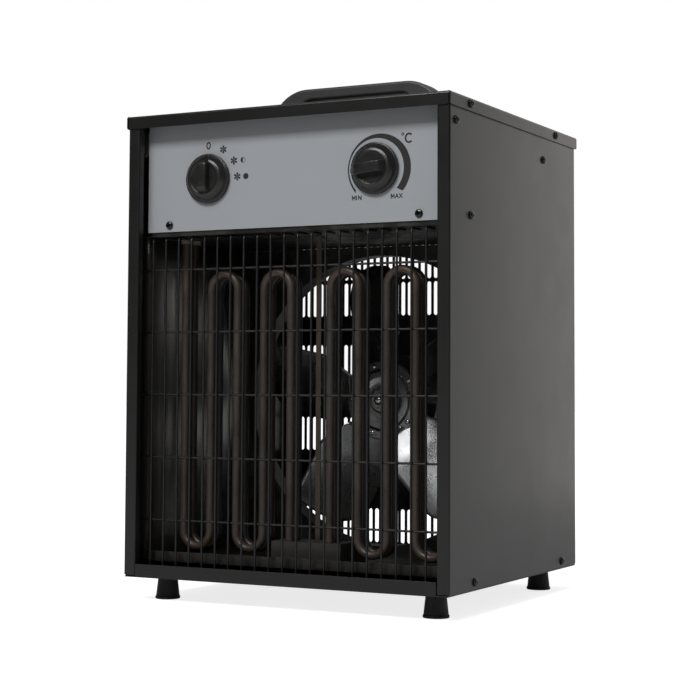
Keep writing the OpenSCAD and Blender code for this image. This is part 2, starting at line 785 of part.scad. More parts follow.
module cover_screws() color([0.12, 0.12, 0.12]) both_sides()
    for (s = cover_screws_at) translate([wall_x + rim_reach, at(s.x), s.y]) screw_towards_x(7);

module side_screws() color([0.12, 0.12, 0.12]) both_sides()
    for (s = side_screws_at) translate([wall_x, at(s.x), s.y]) screw_towards_x(7);

module panel_screws() color([0.12, 0.12, 0.12]) for (x = [-1, 1])
    translate([x * panel_screw_x, at(panel_recess), panel_screw_z]) screw_towards_front(7);

module rear_screws() color([0.12, 0.12, 0.12]) for (x = [-1, 1], z = rear_screw_z)
    translate([x * rear_screw_x, rear_y, z]) screw_towards_rear(7);

module bracket_screws() color([0.12, 0.12, 0.12]) for (x = [-1, 1], z = bracket_z)
    translate([x * bracket_bolt_x, rear_y, z]) screw_towards_rear(9);

base_pan();
side_panel_left();
side_panel_right();
rear_panel();
top_cover();
control_panel();
panel_bracket_left();
panel_bracket_right();
roof_brace();
front_grille();
reflector_left();
reflector_right();
chamber_ceiling();
chamber_floor();
fan_plate();
element_front_left();
element_front_right();
element_rear_left();
element_rear_right();
ceiling_insulators();
element_terminal_block();
element_stay();
motor_bracket();
motor_housing();
motor_end_cap();
motor_bearings();
motor_stator();
motor_rotor();
motor_shaft();
fan_blades();
fan_nut();
handle();
handle_screws();
foot_front_left();
foot_front_right();
foot_rear_left();
foot_rear_right();
foot_screws();
foot_nuts();
mode_switch();
mode_spindle();
mode_knob();
thermostat();
thermostat_spindle();
thermostat_knob();
thermostat_sensor();
thermal_cutout();
reset_button();
contactor();
supply_terminals();
gland_body();
gland_locknut();
gland_seal();
gland_nut();
cover_screws();
side_screws();
panel_screws();
rear_screws();
bracket_screws();
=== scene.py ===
"""Looks of the box fan heater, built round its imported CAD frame. Plain lengths are millimetres."""
import math
import random

import bmesh
import bpy
from mathutils import Matrix, Vector

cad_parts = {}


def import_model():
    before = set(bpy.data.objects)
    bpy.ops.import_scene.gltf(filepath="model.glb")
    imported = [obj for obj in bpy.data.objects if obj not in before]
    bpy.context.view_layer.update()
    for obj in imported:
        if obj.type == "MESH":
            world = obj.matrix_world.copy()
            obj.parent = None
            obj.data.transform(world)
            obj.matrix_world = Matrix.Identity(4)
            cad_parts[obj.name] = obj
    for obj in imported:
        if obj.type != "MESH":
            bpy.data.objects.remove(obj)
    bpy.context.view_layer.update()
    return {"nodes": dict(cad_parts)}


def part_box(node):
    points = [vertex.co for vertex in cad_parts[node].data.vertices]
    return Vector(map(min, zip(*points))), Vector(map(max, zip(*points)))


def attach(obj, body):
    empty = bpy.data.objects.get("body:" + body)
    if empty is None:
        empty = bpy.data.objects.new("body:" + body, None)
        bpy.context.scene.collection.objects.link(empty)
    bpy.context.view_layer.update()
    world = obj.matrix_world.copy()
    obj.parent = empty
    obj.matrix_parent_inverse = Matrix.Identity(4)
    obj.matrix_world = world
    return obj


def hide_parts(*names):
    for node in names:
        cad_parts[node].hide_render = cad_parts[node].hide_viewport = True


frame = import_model()
nodes = frame["nodes"]
MM = 0.001
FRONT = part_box("side_panel_left")[0].y


def at(depth):
    """y of a place that lies depth millimetres behind the front face"""
    return FRONT + depth * MM


def corners(name):
    """Lowest and highest corner of a CAD node in millimetres, y counted from the front face"""
    lo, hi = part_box(name)
    return ((lo.x / MM, (lo.y - FRONT) / MM, lo.z / MM), (hi.x / MM, (hi.y - FRONT) / MM, hi.z / MM))


# ---------------------------------------------------------------- camera

azimuth, elevation, roll = math.radians(27.60), math.radians(-3.46), math.radians(0.26)
eye = (0.8012, FRONT - 1.3915, 0.2069)
back = Vector((math.sin(azimuth) * math.cos(elevation), -math.cos(azimuth) * math.cos(elevation),
               math.sin(elevation)))
level = Vector((math.cos(azimuth), math.sin(azimuth), 0))
upright = level.cross(-back)
right = level * math.cos(roll) + upright * math.sin(roll)
up = upright * math.cos(roll) - level * math.sin(roll)
camera = bpy.data.objects.new("camera", bpy.data.cameras.new("camera"))
camera.data.sensor_width = 36
camera.data.lens = 87.75
camera.data.shift_y = -0.09
camera.data.clip_start = 0.05
camera.data.clip_end = 60
camera.matrix_world = Matrix.Translation(eye) @ Matrix((right, up, back)).transposed().to_4x4()
bpy.context.scene.collection.objects.link(camera)
bpy.context.scene.camera = camera


# ---------------------------------------------------------------- materials

def set_range(node, low, high, to_low, to_high):
    """Limits of a Map Range node"""
    keys = ("From Min", "From Max", "To Min", "To Max")
    for key, number in zip(keys, (low, high, to_low, to_high)):
        node.inputs[key].default_value = number


class Finish:
    """One procedural material: a Principled shader, object coordinates and helpers for its maps"""

    def __init__(self, name, roughness, metallic=0.0):
        self.mat = bpy.data.materials.new(name)
        self.mat.use_nodes = True
        self.tree = self.mat.node_tree
        self.tree.nodes.clear()
        output = self.add("ShaderNodeOutputMaterial")
        self.shader = self.add("ShaderNodeBsdfPrincipled")
        self.tree.links.new(self.shader.outputs[0], output.inputs[0])
        self.shader.inputs["Roughness"].default_value = roughness
        self.shader.inputs["Metallic"].default_value = metallic
        self.place = self.add("ShaderNodeTexCoord").outputs["Object"]
        self.height = None

    def add(self, kind, **values):
        node = self.tree.nodes.new(kind)
        for key, value in values.items():
            setattr(node, key, value)
        return node

    def link(self, source, target):
        self.tree.links.new(source, target)

    def mapped(self, stretch):
        """Coordinates multiplied by stretch along each axis"""
        node = self.add("ShaderNodeMapping")
        node.inputs["Scale"].default_value = stretch
        self.link(self.place, node.inputs["Vector"])
        return node.outputs[0]

    def noise(self, scale, detail, stretch=(1, 1, 1)):
        node = self.add("ShaderNodeTexNoise")
        node.inputs["Scale"].default_value = scale
        node.inputs["Detail"].default_value = detail
        node.inputs["Roughness"].default_value = 0.55
        self.link(self.mapped(stretch), node.inputs["Vector"])
        return node.outputs["Fac"]

    def cells(self, scale):
        """A random grey for each cell of a Voronoi pattern, as zinc spangle has"""
        node = self.add("ShaderNodeTexVoronoi")
        node.inputs["Scale"].default_value = scale
        self.link(self.mapped((1, 1, 1)), node.inputs["Vector"])
        grey = self.add("ShaderNodeSeparateColor")
        self.link(node.outputs["Color"], grey.inputs[0])
        return grey.outputs[0]

    def along(self, axis, low, high):
        """0 to 1 between two places on an axis, in metres"""
        split = self.add("ShaderNodeSeparateXYZ")
        self.link(self.place, split.inputs[0])
        return self.spread(split.outputs[axis], low, high, 0, 1)

    def spread(self, value, low, high, to_low, to_high):
        node = self.add("ShaderNodeMapRange")
        set_range(node, low, high, to_low, to_high)
        self.link(value, node.inputs["Value"])
        return node.outputs["Result"]

    def mix(self, factor, first, second):
        """Colour between first and second, each a colour or a socket"""
        node = self.add("ShaderNodeMix", data_type="RGBA")
        self.link(factor, node.inputs["Factor"])
        for key, value in ((6, first), (7, second)):
            if isinstance(value, (tuple, list)):
                node.inputs[key].default_value = (*value, 1)
            else:
                self.link(value, node.inputs[key])
        return node.outputs[2]

    def math(self, kind, first, second):
        node = self.add("ShaderNodeMath", operation=kind)
        for key, value in ((0, first), (1, second)):
            if isinstance(value, (int, float)):
                node.inputs[key].default_value = value
            else:
                self.link(value, node.inputs[key])
        return node.outputs[0]

    def colour(self, value):
        self.link(value, self.shader.inputs["Base Color"])
        return self

    def rough(self, value, low, high):
        self.link(self.spread(value, 0.3, 0.7, low, high), self.shader.inputs["Roughness"])
        return self

    def bump(self, value, distance):
        """Adds a height map, its relief given in millimetres"""
        node = self.add("ShaderNodeBump")
        node.inputs["Strength"].default_value = 1.0
        node.inputs["Distance"].default_value = distance * MM
        self.link(value, node.inputs["Height"])
        if self.height is not None:
            self.link(self.height, node.inputs["Normal"])
        self.height = node.outputs["Normal"]
        self.link(self.height, self.shader.inputs["Normal"])
        return self


def tone(red, green, blue):
    """Linear colour from an sRGB triple of 0 to 255"""
    def linear(c):
        return c / 255 / 12.92 if c <= 10 else ((c / 255 + 0.055) / 1.055) ** 2.4

    return tuple(linear(c) for c in (red, green, blue))


def shade(colour, factor):
    return tuple(min(1.0, c * factor) for c in colour)


def powder_coat(name, colour, roughness, vary=0.05):
    """Baked powder coat: faint orange peel, fine grain and a little change of gloss"""
    f = Finish(name, roughness)
    clouds = f.spread(f.noise(9, 4), 0.3, 0.7, 0, 1)
    f.colour(f.mix(clouds, shade(colour, 1 - vary), shade(colour, 1 + vary)))
    f.rough(f.noise(26, 5), roughness - 0.02, roughness + 0.025)
    f.bump(f.noise(420, 2), 0.010).bump(f.noise(1900, 3), 0.004)
    return f.mat


def galvanised(name, colour, roughness, spangle=70, relief=0.01):
    """Zinc-coated sheet with its spangle"""
    f = Finish(name, roughness, 1.0)
    grains = f.cells(spangle)
    f.colour(f.mix(grains, shade(colour, 0.78), shade(colour, 1.12)))
    f.rough(grains, roughness - 0.06, roughness + 0.08)
    f.bump(f.noise(60, 4), relief * 6).bump(grains, relief)
    return f.mat


def brushed(name, colour, roughness, stretch=(1, 1, 1), relief=0.004):
    """Bright metal with drawing lines along the axis whose stretch is smallest"""
    f = Finish(name, roughness, 1.0)
    lines = f.noise(500, 3, stretch)
    f.colour(f.mix(f.noise(35, 4), shade(colour, 0.85), shade(colour, 1.1)))
    f.rough(lines, roughness - 0.07, roughness + 0.10)
    f.bump(lines, relief).bump(f.noise(90, 3), 0.02)
    return f.mat


def moulded(name, colour, roughness, grain=0.012, vary=0.10):
    """Moulded plastic or rubber with a fine spark-eroded grain"""
    f = Finish(name, roughness)
    f.colour(f.mix(f.noise(60, 4), shade(colour, 1 - vary), shade(colour, 1 + vary)))
    f.rough(f.noise(120, 4), roughness - 0.05, roughness + 0.06)
    f.bump(f.noise(2200, 2), grain).bump(f.noise(25, 3), grain * 3)
    return f.mat


def tube_finish(name, dark, light, glow):
    """Oxidised heating tube: brown scale, a little redder at the hot bends, with dark specks"""
    f = Finish(name, 0.42, 0.35)
    scale = f.noise(55, 5, (1, 1, 0.35))
    brown = f.mix(f.spread(scale, 0.3, 0.7, 0, 1), dark, light)
    heat = f.math("MAXIMUM", f.along(2, 0.290, 0.325), f.along(2, 0.080, 0.046))
    heat = f.math("MULTIPLY", heat, f.spread(f.noise(28, 2), 0.35, 0.65, 0.1, 0.8))
    brown = f.mix(heat, brown, glow)
    f.colour(f.mix(f.spread(f.noise(380, 3), 0.60, 0.72, 0, 0.6), brown, tone(30, 27, 25)))
    f.rough(f.noise(70, 4), 0.36, 0.52)
    f.bump(f.noise(900, 3), 0.012).bump(f.noise(140, 3), 0.03)
    return f.mat


def reflector_finish():
    """Thin sheet gone dull in vertical streaks"""
    f = Finish("reflector_bright", 0.3, 1.0)
    streaks = f.noise(70, 4, (1, 1, 0.05))
    fine = f.noise(240, 3, (1, 1, 0.03))
    f.colour(f.mix(f.spread(streaks, 0.34, 0.66, 0, 1), tone(124, 123, 118), tone(170, 169, 164)))
    f.rough(fine, 0.30, 0.48)
    f.bump(streaks, 0.12).bump(f.noise(45, 3, (1, 1, 0.5)), 0.15)
    return f.mat


def blade_finish():
    """Smooth rolled aluminium with a thin film of dust"""
    f = Finish("blade_aluminium_sheet", 0.24, 1.0)
    film = f.spread(f.noise(16, 3), 0.35, 0.65, 0, 1)
    f.colour(f.mix(film, tone(120, 121, 122), tone(172, 173, 174)))
    f.rough(f.noise(30, 3), 0.20, 0.34)
    f.bump(f.noise(9, 2), 0.10)
    return f.mat


def ceramic_finish():
    f = Finish("steatite", 0.45)
    f.colour(f.mix(f.spread(f.noise(90, 4), 0.35, 0.65, 0, 1), tone(112, 106, 94), tone(140, 133, 120)))
    f.rough(f.noise(200, 3), 0.38, 0.55)
    f.bump(f.noise(1500, 3), 0.012)
    return f.mat


def winding_finish():
    """Enamelled copper wound round the stator"""
    f = Finish("enamelled_copper", 0.32, 0.9)
    turns = f.noise(900, 2, (1, 0.08, 1))
    f.colour(f.mix(f.spread(turns, 0.35, 0.65, 0, 1), tone(120, 62, 34), tone(186, 112, 62)))
    f.rough(f.noise(150, 3), 0.26, 0.42)
    f.bump(turns, 0.10)
    return f.mat


black_paint = powder_coat("cabinet_powder", tone(18, 18, 18), 0.38)
side_paint = powder_coat("cabinet_powder_side", tone(20, 19, 18), 0.31)
panel_paint = powder_coat("panel_powder", tone(145, 148, 152), 0.46, 0.015)
wire_paint = moulded("wire_coat", tone(20, 20, 20), 0.38, 0.006)
# fan plate: a zinc sheet given a dark colour that is painted shade of the chamber round it
plate_painted_shade = galvanised("plate_zinc_painted_shade", tone(62, 62, 60), 0.42, 60)
zinc = galvanised("sheet_zinc", tone(190, 191, 190), 0.34)
# chamber ceiling and floor: heat-stained zinc, made darker still as painted shade of the chamber
sooted_zinc_and_painted_shade = galvanised("sheet_zinc_heated_and_painted_shade", tone(66, 65, 62), 0.45, 80)
bracket_paint = powder_coat("bracket_powder", tone(48, 48, 48), 0.45)
motor_paint = powder_coat("motor_enamel", tone(58, 60, 62), 0.42)
sheath = tube_finish("sheath_oxide", tone(54, 49, 45), tone(76, 70, 64), tone(84, 64, 54))
# rear row of elements: the front row's oxide made darker, as painted shade behind the front row
rear_sheath_painted_shade = tube_finish("sheath_oxide_rear_painted_shade", tone(38, 35, 33), tone(54, 49, 46), tone(60, 46, 40))
reflector = reflector_finish()
ceramic = ceramic_finish()
phenolic = moulded("phenolic", tone(44, 42, 40), 0.5)
stay_steel = brushed("scaled_steel", tone(92, 84, 78), 0.45, (1, 1, 0.1))
bronze = brushed("sintered_bronze", tone(186, 142, 88), 0.4)
winding = winding_finish()
rotor_iron = brushed("lamination", tone(130, 130, 132), 0.45, (0.1, 4, 0.1))
shaft_steel = brushed("ground_steel", tone(196, 196, 198), 0.22, (1, 0.1, 1))
blade_metal = blade_finish()
bright_nut = brushed("nut_zinc", tone(206, 206, 204), 0.2)
handle_plastic = moulded("handle_plastic_grain", tone(40, 40, 41), 0.47, 0.02)
plated = brushed("screw_zinc", tone(180, 180, 176), 0.28)
black_screw = powder_coat("screw_black_oxide", tone(14, 14, 15), 0.16)
rubber = moulded("foot_rubber_moulded", tone(14, 14, 14), 0.58, 0.02)
knob_plastic = moulded("knob_plastic_satin", tone(26, 26, 25), 0.30, 0.008)
switch_plastic = moulded("switch_housing", tone(52, 52, 54), 0.45)
thermostat_case = moulded("thermostat_housing", tone(204, 196, 168), 0.5)
copper = brushed("copper_capillary", tone(196, 120, 84), 0.3)
cutout_plastic = moulded("cutout_housing", tone(50, 48, 47), 0.48)
reset_red = moulded("reset_cap", tone(176, 30, 24), 0.36)
contactor_plastic = moulded("contactor_housing", tone(70, 70, 73), 0.5)
nylon = moulded("terminal_housing", tone(214, 214, 206), 0.42)
gland_plastic = moulded("gland_polyamide", tone(38, 38, 38), 0.42, 0.012)
gland_rubber = moulded("gland_seal_rubber", tone(24, 24, 24), 0.6)
ink = moulded("panel_ink", tone(12, 12, 14), 0.6, 0.003)


# ---------------------------------------------------------------- shape helpers

def new_object(name, mesh):
    obj = bpy.data.objects.new(name, mesh)
    bpy.context.scene.collection.objects.link(obj)
    return obj


def make(name, verts, faces, smooth=35):
    """An object from points in metres, with smooth shading below an angle"""
    mesh = bpy.data.meshes.new(name)
    mesh.from_pydata([tuple(v) for v in verts], [], faces)
    bm = bmesh.new()
    bm.from_mesh(mesh)
    bmesh.ops.remove_doubles(bm, verts=bm.verts, dist=2e-7)
    bmesh.ops.recalc_face_normals(bm, faces=bm.faces)
    bm.to_mesh(mesh)
    bm.free()
    mesh.polygons.foreach_set("use_smooth", [True] * len(mesh.polygons))
    mesh.set_sharp_from_angle(angle=math.radians(smooth))
    return new_object(name, mesh)


def grid_faces(rows, per):
    """Quads between neighbouring rows of points, per points to a row"""
    return [(a, a + 1, a + per + 1, a + per)
            for i in range(rows - 1) for a in range(i * per, i * per + per - 1)]


def wall_faces(count, first=0):
    """Quads between two loops of count points, the first loop starting at point first"""
    low = range(first, first + count)
    return [(low[k], low[(k + 1) % count], low[(k + 1) % count] + count, low[k] + count)
            for k in range(count)]


def round_corners(points, radii, steps=5):
    """A polyline with its inner corners replaced by arcs of steps + 1 points, one radius to a point"""
    out = [Vector(points[0])]
    for i in range(1, len(points) - 1):
        here, before, after = Vector(points[i]), Vector(points[i - 1]), Vector(points[i + 1])
        radius = radii[i]
        a, b = (before - here), (after - here)
        if radius <= 0 or a.length < 1e-9 or b.length < 1e-9:
            out.append(here)
            continue
        a.normalize()
        b.normalize()
        half = math.acos(max(-1, min(1, a.dot(b)))) / 2
        if half > math.radians(88):
            # nearly straight: points side by side instead of an arc
            out += [here + (b if k > steps / 2 else a) * 1e-4 * abs(2 * k / steps - 1)
                    for k in range(steps + 1)]
            continue
        reach = min(radius / math.tan(half), (before - here).length * 0.49,
                    (after - here).length * 0.49)
        radius = reach * math.tan(half)
        middle = here + (a + b).normalized() * (radius / math.sin(half))
        start, end = here + a * reach - middle, here + b * reach - middle
        turn = math.acos(max(-1, min(1, start.normalized().dot(end.normalized()))))
        for k in range(steps + 1):
            t = k / steps
            arm = start * math.sin((1 - t) * turn) + end * math.sin(t * turn)
            out.append(middle + arm / math.sin(turn))
    out.append(Vector(points[-1]))
    return out


def axes_of(direction):
    """The unit vector of a direction and two across it"""
    direction = Vector(direction).normalized()
    other = Vector((0, 0, 1)) if abs(direction.z) < 0.9 else Vector((1, 0, 0))
    first = other.cross(direction).normalized()
    return direction, first, direction.cross(first)


def lathe_mesh(profile, place, direction, count=48):
    """Points and faces of a profile of (radius, height) turned about a direction"""
    direction, first, second = axes_of(direction)
    verts, faces, rings = [], [], []
    for radius, height in profile:
        centre = Vector(place) + direction * height * MM
        if radius < 1e-6:
            rings.append([len(verts)])
            verts.append(centre)
            continue
        rings.append(list(range(len(verts), len(verts) + count)))
        for k in range(count):
            turn = 2 * math.pi * k / count
            verts.append(centre + (first * math.cos(turn) + second * math.sin(turn)) * radius * MM)
    for low, high in zip(rings, rings[1:]):
        for k in range(count):
            n = (k + 1) % count
            if len(low) == 1 and len(high) == 1:
                continue
            if len(low) == 1:
                faces.append((low[0], high[k], high[n]))
            elif len(high) == 1:
                faces.append((low[k], high[0], low[n]))
            else:
                faces.append((low[k], high[k], high[n], low[n]))
    return verts, faces


def lathe(name, profile, place, direction, count=48, closed=False):
    """An object turned from a profile, its last point joined to its first if closed"""
    verts, faces = lathe_mesh(profile, place, direction, count)
    if closed:
        rows = len(profile)
        for k in range(count):
            n = (k + 1) % count
            faces.append(((rows - 1) * count + k, k, n, (rows - 1) * count + n))
    return make(name, verts, faces)


def prism(name, outline, front, rear):
    """An outline of (x, z) in millimetres pulled from one depth to another"""
    count = len(outline)
    verts = [(x * MM, at(depth), z * MM) for depth in (front, rear) for x, z in outline]
    faces = [tuple(range(count)), tuple(range(count, 2 * count))] + wall_faces(count)
    return make(name, verts, faces)


def merge(name, parts, smooth=35):
    """One object from several (points, faces) pairs"""
    verts, faces = [], []
    for more_verts, more_faces in parts:
        faces += [tuple(i + len(verts) for i in face) for face in more_faces]
        verts += list(more_verts)
    return make(name, verts, faces, smooth)


def bevel(obj, width, segments=2, angle=35):
    mod = obj.modifiers.new("bevel", "BEVEL")
    mod.width = width * MM
    mod.segments = segments
    mod.limit_method = "ANGLE"
    mod.angle_limit = math.radians(angle)
    mod.use_clamp_overlap = True


def bake(obj):
    """Applies the object's modifiers to its mesh"""
    bpy.context.view_layer.update()
    result = bpy.data.meshes.new_from_object(obj.evaluated_get(bpy.context.evaluated_depsgraph_get()))
    obj.modifiers.clear()
    obj.data = result


def dress(obj, mat, body="cabinet", replaces=()):
    """Material and body of a finished piece; hides the CAD nodes it replaces"""
    obj.data.materials.clear()
    obj.data.materials.append(mat)
    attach(obj, body)
    if replaces:
        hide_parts(*replaces)


# ---------------------------------------------------------------- carried-over CAD nodes

def paint(mat, *names):
    for name in names:
        nodes[name].data.materials.clear()
        nodes[name].data.materials.append(mat)


def soften(width, *names):
    """Folded and pressed edges: welds the imported mesh in a modifier and rounds its edges"""
    for name in names:
        weld = nodes[name].modifiers.new("weld", "WELD")
        weld.merge_threshold = 1e-6
        bevel(nodes[name], width, 2, 40)
        even = nodes[name].modifiers.new("even", "WEIGHTED_NORMAL")
        even.mode = "FACE_AREA_WITH_ANGLE"


paint(side_paint, "side_panel_left", "side_panel_right")
paint(black_paint, "base_pan", "rear_panel")
paint(panel_paint, "control_panel")
paint(zinc, "panel_bracket_left", "panel_bracket_right", "roof_brace")
paint(sooted_zinc_and_painted_shade, "chamber_ceiling", "chamber_floor")
paint(plate_painted_shade, "fan_plate")
paint(wire_paint, "front_grille")
paint(sheath, "element_front_left", "element_front_right")
paint(rear_sheath_painted_shade, "element_rear_left", "element_rear_right")
paint(ceramic, "ceiling_insulators")
paint(phenolic, "element_terminal_block")
paint(stay_steel, "element_stay")
paint(bracket_paint, "motor_bracket")
paint(motor_paint, "motor_housing", "motor_end_cap")
paint(bronze, "motor_bearings")
paint(winding, "motor_stator")
paint(rotor_iron, "motor_rotor")
paint(shaft_steel, "motor_shaft", "mode_spindle", "thermostat_spindle")
paint(plated, "foot_nuts", "handle_screws")
paint(switch_plastic, "mode_switch")
paint(thermostat_case, "thermostat")
paint(copper, "thermostat_sensor")
paint(cutout_plastic, "thermal_cutout")
paint(reset_red, "reset_button")
paint(contactor_plastic, "contactor")
paint(nylon, "supply_terminals")
paint(gland_plastic, "gland_body", "gland_locknut", "gland_nut")
paint(gland_rubber, "gland_seal")
soften(0.3, "base_pan", "panel_bracket_left", "panel_bracket_right", "roof_brace", "chamber_floor")
soften(0.6, "element_terminal_block", "contactor", "supply_terminals", "mode_switch", "thermostat",
       "thermal_cutout", "motor_bracket")
soften(0.8, "motor_end_cap", "gland_body", "gland_locknut", "gland_nut", "reset_button")


# ---------------------------------------------------------------- cover

def cover():
    """Cover with bent edges, rounded lip ends and the open seams at its corners"""
    (x0, d0, z0), (x1, d1, z1) = corners("top_cover")
    sheet, bend, steps = 1.2, 2.2, 6
    parts = []

    def lip(start, end, outward):
        """One turned-down lip between two (x, d) points on its outer face, its lower corners rounded"""
        start, end, outward = Vector(start), Vector(end), Vector(outward)
        run = (end - start).length
        side = (end - start).normalized()
        top = z1 - bend
        outline = round_corners([(0, top), (0, z0), (run, z0), (run, top)], [0, 2.2, 2.2, 0])
        count = len(outline)
        verts = []
        for inset in (0, -sheet):
            for a, z in outline:
                p = start + side * a + outward * inset
                verts.append((p.x * MM, at(p.y), z * MM))
        faces = [tuple(range(count)), tuple(range(count, 2 * count))] + wall_faces(count)
        parts.append((verts, faces))
        # the bend between the lip and the top
        verts, rows = [], []
        for p0 in (start, end):
            row = []
            for radius in (bend, bend - sheet):
                for k in range(steps + 1):
                    turn = math.pi / 2 * k / steps
                    p = p0 - outward * (bend - radius * math.cos(turn))
                    row.append(len(verts))
                    verts.append((p.x * MM, at(p.y), (z1 - bend + radius * math.sin(turn)) * MM))
            rows.append(row)
        n = steps + 1
        faces = []
        for k in range(steps):
            faces.append((rows[0][k], rows[0][k + 1], rows[1][k + 1], rows[1][k]))
            faces.append((rows[0][n + k], rows[0][n + k + 1], rows[1][n + k + 1], rows[1][n + k]))
        for row in rows:
            for k in range(steps):
                faces.append((row[k], row[k + 1], row[n + k + 1], row[n + k]))
        for a, b in ((0, n), (n - 1, 2 * n - 1)):
            faces.append((rows[0][a], rows[1][a], rows[1][b], rows[0][b]))
        parts.append((verts, faces))

    seam = 1.0
    inner = x1 - sheet - seam
    lip((-inner, d0), (inner, d0), (0, -1))
    lip((-inner, d1), (inner, d1), (0, 1))
    lip((x0, d0 + 0.2), (x0, d1 - 0.2), (-1, 0))
    lip((x1, d0 + 0.2), (x1, d1 - 0.2), (1, 0))
    flat = [(x0 + bend, d0 + bend), (x1 - bend, d0 + bend),
            (x1 - bend, d1 - bend), (x0 + bend, d1 - bend)]
    verts = [(x * MM, at(d), z * MM) for z in (z1 - sheet, z1) for x, d in flat]
    faces = [(0, 1, 2, 3), (4, 5, 6, 7)] + wall_faces(4)
    parts.append((verts, faces))
    # rounded corner caps where two bends meet
    for sx in (-1, 1):
        for sd, edge in ((-1, d0), (1, d1)):
            verts, faces, rings = [], [], []
            cx, cd = sx * (x1 - bend), edge - sd * bend
            for i in range(steps + 1):
                lift = math.pi / 2 * i / steps
                ring = []
                for k in range(steps + 1):
                    turn = math.pi / 2 * k / steps
                    r = bend * math.cos(lift)
                    ring.append(len(verts))
                    verts.append(((cx + sx * r * math.cos(turn)) * MM, at(cd + sd * r * math.sin(turn)),
                                  (z1 - bend + bend * math.sin(lift)) * MM))
                rings.append(ring)
            for i in range(steps):
                for k in range(steps):
                    faces.append((rings[i][k], rings[i][k + 1], rings[i + 1][k + 1], rings[i + 1][k]))
            parts.append((verts, faces))
    piece = merge("cover_shell", parts, 40)
    dress(piece, side_paint, replaces=["top_cover"])


cover()


# ---------------------------------------------------------------- screws

HEAD_HEIGHT = 2.4


def screw_head():
    """Pan head with a cross recess, towards +Z, as (points, faces) in metres about its seat"""
    radius, height = 4.0, HEAD_HEIGHT
    profile = round_corners([(0.001, 0), (radius, 0), (radius, 0.9), (radius * 0.86, height * 0.8),
                             (radius * 0.5, height), (0, height)], [0, 0.15, 0.9, 1.2, 1.0, 0], 4)
    verts, faces = lathe_mesh([(p.x, p.y) for p in profile], (0, 0, 0), (0, 0, 1), 28)
    head = make("head", verts, faces, 45)
    cutters = []
    for turn in (0, math.pi / 2):
        c, s = math.cos(turn), math.sin(turn)
        points = []
        for z, half_len, half_w in ((height - 1.5, 1.0, 0.25), (height + 0.6, 2.5, 0.55)):
            for sa, sb in ((-1, -1), (1, -1), (1, 1), (-1, 1)):
                a, b = sa * half_len, sb * half_w
                points.append(((a * c - b * s) * MM, (a * s + b * c) * MM, z * MM))
        cutters.append(make("cutter", points, [(0, 1, 2, 3), (4, 5, 6, 7), (0, 1, 5, 4), (1, 2, 6, 5),
                                               (2, 3, 7, 6), (3, 0, 4, 7)]))
    for cutter in cutters:
        mod = head.modifiers.new("recess", "BOOLEAN")
        mod.operation = "DIFFERENCE"
        mod.solver = "EXACT"
        mod.object = cutter
    bake(head)
    result = ([v.co.copy() for v in head.data.vertices],
              [tuple(p.vertices) for p in head.data.polygons])
    for obj in [head, *cutters]:
        bpy.data.objects.remove(obj)
    return result


HEAD = screw_head()
chance = random.Random(7)


def screws(name, seats, direction):
    """A set of screws on their seats, each turned by chance"""
    shank = 6.0
    direction, first, second = axes_of(direction)
    parts = []
    for seat in seats:
        turn = chance.uniform(0, math.pi)
        a = first * math.cos(turn) + second * math.sin(turn)
        b = direction.cross(a)
        parts.append(([Vector(seat) + a * v.x + b * v.y + direction * v.z for v in HEAD[0]], HEAD[1]))
        shaft = [(2.0, 0.4), (2.0, -shank + 0.5), (1.6, -shank), (0, -shank)]
        parts.append(lathe_mesh(shaft, seat, direction, 16))
    return merge(name, parts, 40)


def seats_of(name, axis, sign):
    """Seats of a node's screws, read from its separate solids"""
    mesh = nodes[name].data
    bm = bmesh.new()
    bm.from_mesh(mesh)
    bmesh.ops.remove_doubles(bm, verts=bm.verts, dist=1e-6)
    seats, seen = [], set()
    for start in bm.verts:
        if start in seen:
            continue
        group, todo = [], [start]
        seen.add(start)
        while todo:
            v = todo.pop()
            group.append(v.co)
            for e in v.link_edges:
                other = e.other_vert(v)
                if other not in seen:
                    seen.add(other)
                    todo.append(other)
        lo = Vector([min(c[i] for c in group) for i in range(3)])
        hi = Vector([max(c[i] for c in group) for i in range(3)])
        seat = (lo + hi) / 2
        outward = sign if sign else (1 if seat[axis] > 0 else -1)
        seat[axis] = (hi if outward > 0 else lo)[axis] - outward * HEAD_HEIGHT * MM
        seats.append((seat, outward))
    bm.free()
    return seats


def screw_set(node, axis, sign, mat):
    """Screws in place of a node's: along an axis, to one side of it or, with sign 0, to both"""
    groups = {}
    for seat, outward in seats_of(node, axis, sign):
        groups.setdefault(outward, []).append(seat)
    for outward, seats in groups.items():
        direction = [0, 0, 0]
        direction[axis] = outward
        tag = {1: "a", -1: "b"}[outward]
        dress(screws(f"{node}_{tag}", seats, direction), mat, replaces=[node])


screw_set("cover_screws", 0, 0, black_screw)
screw_set("side_screws", 0, 0, black_screw)
screw_set("panel_screws", 1, -1, black_screw)
screw_set("rear_screws", 1, 1, black_screw)
screw_set("bracket_screws", 1, 1, black_screw)
screw_set("foot_screws", 2, -1, plated)


# ---------------------------------------------------------------- knobs

